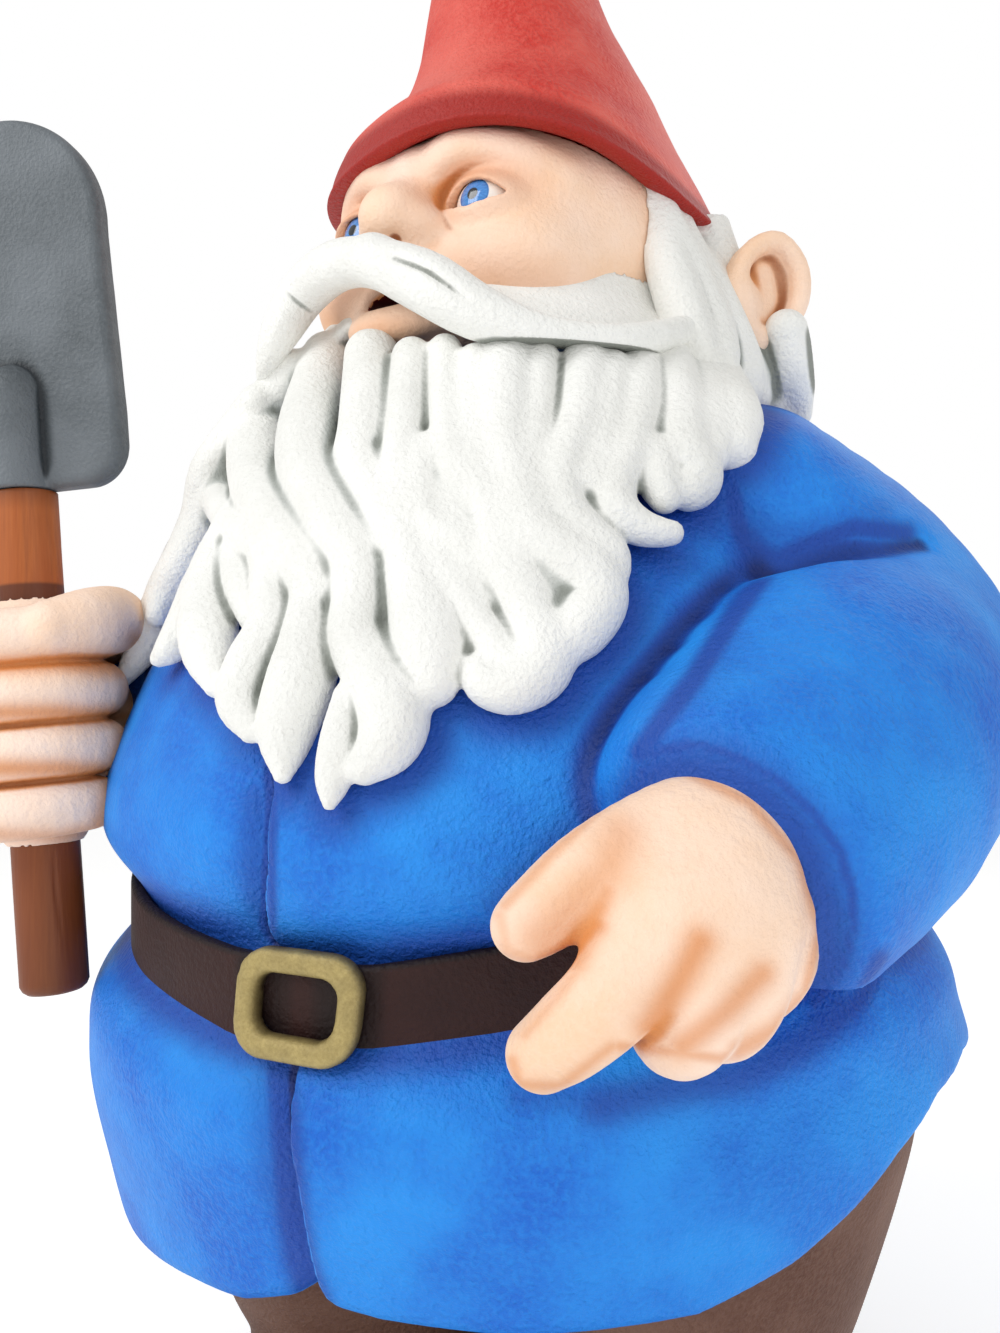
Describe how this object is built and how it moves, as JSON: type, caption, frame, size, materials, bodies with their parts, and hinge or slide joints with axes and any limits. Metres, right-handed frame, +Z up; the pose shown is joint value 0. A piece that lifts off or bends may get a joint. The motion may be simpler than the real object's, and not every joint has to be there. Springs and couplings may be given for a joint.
{
  "type": "garden gnome",
  "caption": "Large carved-foam garden gnome on a steel frame, with a pointed hat and long beard, one hand by the belt and a lift-out shovel in the other fist.",
  "frame": {"origin": "on the underside of the base plate, between the feet, under the mast", "axes": "+Z up, the figure faces -Y, +X is the figure's own left"},
  "size_m": [0.8732, 0.7369, 1.4957],
  "materials": {
    "frame_steel": "bare welded mild steel",
    "boot_sole": "hard-coated foam, dark painted",
    "boot": "hard-coated foam, dark brown paint",
    "trousers": "hard-coated foam, brown airbrushed paint",
    "tunic": "hard-coated foam, blue airbrushed paint with a fine orange-peel grain",
    "belt": "hard-coated foam, dark brown satin paint",
    "buckle": "hard-coated foam board, dull gold paint",
    "skin": "hard-coated foam, skin-tone airbrushed paint",
    "eye": "painted ball with a clear coat",
    "hair": "hard-coated foam, off-white paint shaded grey in the hollows",
    "hat": "hard-coated foam, red airbrushed paint",
    "handle_wood": "stained timber pole",
    "blade": "hard-coated foam board, steel-grey paint"
  },
  "bodies": {
    "figure": {"base_plate": "frame_steel", "left_leg_post": "frame_steel", "right_leg_post": "frame_steel", "hip_bar": "frame_steel", "spine_mast": "frame_steel", "waist_key_plate": "frame_steel", "neck_key_plate": "frame_steel", "left_arm_rod": "frame_steel", "right_arm_rod": "frame_steel", "left_boot_sole": "boot_sole", "right_boot_sole": "boot_sole", "left_boot": "boot", "right_boot": "boot", "left_trouser_leg": "trousers", "right_trouser_leg": "trousers", "tunic_skirt": "tunic", "torso": "tunic", "left_sleeve": "tunic", "right_sleeve": "tunic", "belt": "belt", "buckle": "buckle", "head": "skin", "left_hand": "skin", "right_fist": "skin", "left_ear": "skin", "right_ear": "skin", "left_eye": "eye", "right_eye": "eye", "hair": "hair", "beard": "hair", "moustache": "hair", "hat": "hat"},
    "shovel": {"shovel_handle": "handle_wood", "shovel_blade": "blade"}
  },
  "joints": [
    {"name": "shovel_lift", "type": "slide", "parent": "figure", "child": "shovel", "axis": [-0.0872, 0, 0.9962], "range_m": [0, 0.36]}
  ]
}
